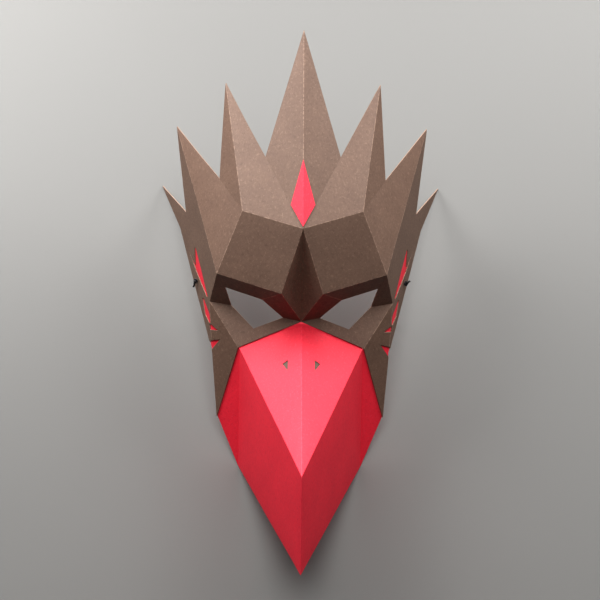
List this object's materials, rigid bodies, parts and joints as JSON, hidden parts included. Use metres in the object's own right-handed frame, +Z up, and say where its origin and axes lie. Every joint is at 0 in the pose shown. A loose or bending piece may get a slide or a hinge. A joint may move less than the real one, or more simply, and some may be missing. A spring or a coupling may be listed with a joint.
{
  "type": "tengu mask",
  "caption": "Folded card crow tengu mask: a brown face with a crown of pointed feathers, a frowning brow, open eyes, a large red beak and a black elastic.",
  "frame": {"origin": "centre of the mask's bounding box on the table it lies on, the two knots and the elastic left out", "axes": "+X across the mask, to the right as one looks at its front, +Y from the beak's tip towards the crown, +Z up out of the table towards the front of the mask"},
  "size_m": [0.19, 0.3448, 0.1347],
  "materials": {
    "brown_card": "matt coloured card",
    "red_card": "matt coloured card",
    "black_elastic": "braided round elastic"
  },
  "bodies": {
    "root": {"face": "brown_card", "beak": "red_card", "forehead_diamond": "red_card", "side_lining_left": "red_card", "side_lining_right": "red_card", "nostril_lining_left": "brown_card", "nostril_lining_right": "brown_card", "elastic": "black_elastic", "elastic_knot_left": "black_elastic", "elastic_knot_right": "black_elastic"}
  },
  "joints": []
}
